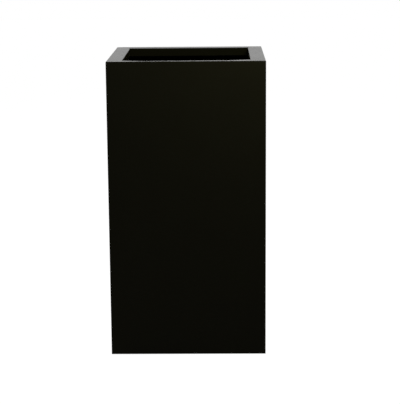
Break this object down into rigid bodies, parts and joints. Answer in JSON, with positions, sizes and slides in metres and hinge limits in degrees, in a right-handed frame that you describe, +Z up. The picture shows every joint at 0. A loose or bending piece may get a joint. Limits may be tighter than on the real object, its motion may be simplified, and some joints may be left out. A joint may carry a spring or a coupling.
{
  "type": "planter",
  "caption": "Tall square column planter of folded sheet steel with a wide flat rim and turned-down lip, a plugged drain tray and hidden levelling feet.",
  "frame": {"origin": "centre of the square footprint, at floor level under the feet", "axes": "+Z up; the front face looks along -Y; +X is to the right of someone facing the front"},
  "size_m": [0.4, 0.4, 0.762],
  "materials": {
    "powder_coat": "satin",
    "zinc_plate": "satin",
    "nylon": "matte",
    "drain_plastic": "satin",
    "rubber": "matte"
  },
  "bodies": {
    "planter": {"front_panel": "powder_coat", "right_panel": "powder_coat", "back_panel": "powder_coat", "left_panel": "powder_coat", "base_cleat_front": "powder_coat", "base_cleat_right": "powder_coat", "base_cleat_back": "powder_coat", "base_cleat_left": "powder_coat", "corner_angle_front_left": "powder_coat", "rim_plate_front_left": "powder_coat", "foot_bracket_front_left": "powder_coat", "corner_angle_front_right": "powder_coat", "rim_plate_front_right": "powder_coat", "foot_bracket_front_right": "powder_coat", "corner_angle_back_right": "powder_coat", "rim_plate_back_right": "powder_coat", "foot_bracket_back_right": "powder_coat", "corner_angle_back_left": "powder_coat", "rim_plate_back_left": "powder_coat", "foot_bracket_back_left": "powder_coat", "floor_tray": "powder_coat", "foot_nuts": "zinc_plate", "tray_screws": "zinc_plate", "tray_nuts": "zinc_plate", "drain_fitting": "drain_plastic", "drain_gasket": "rubber", "drain_nut": "drain_plastic"},
    "foot_pad_front_left": {"foot_pad_front_left": "nylon"},
    "foot_stud_front_left": {"foot_stud_front_left": "zinc_plate"},
    "foot_pad_front_right": {"foot_pad_front_right": "nylon"},
    "foot_stud_front_right": {"foot_stud_front_right": "zinc_plate"},
    "foot_pad_back_right": {"foot_pad_back_right": "nylon"},
    "foot_stud_back_right": {"foot_stud_back_right": "zinc_plate"},
    "foot_pad_back_left": {"foot_pad_back_left": "nylon"},
    "foot_stud_back_left": {"foot_stud_back_left": "zinc_plate"},
    "drain_plug": {"drain_plug": "rubber"}
  },
  "joints": [
    {"name": "foot_travel_front_left", "type": "slide", "parent": "planter", "child": "foot_pad_front_left", "axis": [0, 0, -1], "range_m": [0, 0.009]},
    {"name": "stud_turn_front_left", "type": "hinge", "parent": "foot_pad_front_left", "child": "foot_stud_front_left", "pos_m": [-0.1685, -0.1685, 0.012], "axis": [0, 0, -1], "range_deg": [0, 2592.5]},
    {"name": "foot_travel_front_right", "type": "slide", "parent": "planter", "child": "foot_pad_front_right", "axis": [0, 0, -1], "range_m": [0, 0.009]},
    {"name": "stud_turn_front_right", "type": "hinge", "parent": "foot_pad_front_right", "child": "foot_stud_front_right", "pos_m": [0.1685, -0.1685, 0.012], "axis": [0, 0, -1], "range_deg": [0, 2592.5]},
    {"name": "foot_travel_back_right", "type": "slide", "parent": "planter", "child": "foot_pad_back_right", "axis": [0, 0, -1], "range_m": [0, 0.009]},
    {"name": "stud_turn_back_right", "type": "hinge", "parent": "foot_pad_back_right", "child": "foot_stud_back_right", "pos_m": [0.1685, 0.1685, 0.012], "axis": [0, 0, -1], "range_deg": [0, 2592.5]},
    {"name": "foot_travel_back_left", "type": "slide", "parent": "planter", "child": "foot_pad_back_left", "axis": [0, 0, -1], "range_m": [0, 0.009]},
    {"name": "stud_turn_back_left", "type": "hinge", "parent": "foot_pad_back_left", "child": "foot_stud_back_left", "pos_m": [-0.1685, 0.1685, 0.012], "axis": [0, 0, -1], "range_deg": [0, 2592.5]},
    {"name": "plug_lift", "type": "slide", "parent": "planter", "child": "drain_plug", "axis": [0, 0, 1], "range_m": [0, 0.75]}
  ],
  "couplings": [
    {"joint": "stud_turn_front_left", "follows": "foot_travel_front_left", "rad_per_m": 5026.5},
    {"joint": "stud_turn_front_right", "follows": "foot_travel_front_right", "rad_per_m": 5026.5},
    {"joint": "stud_turn_back_right", "follows": "foot_travel_back_right", "rad_per_m": 5026.5},
    {"joint": "stud_turn_back_left", "follows": "foot_travel_back_left", "rad_per_m": 5026.5}
  ]
}
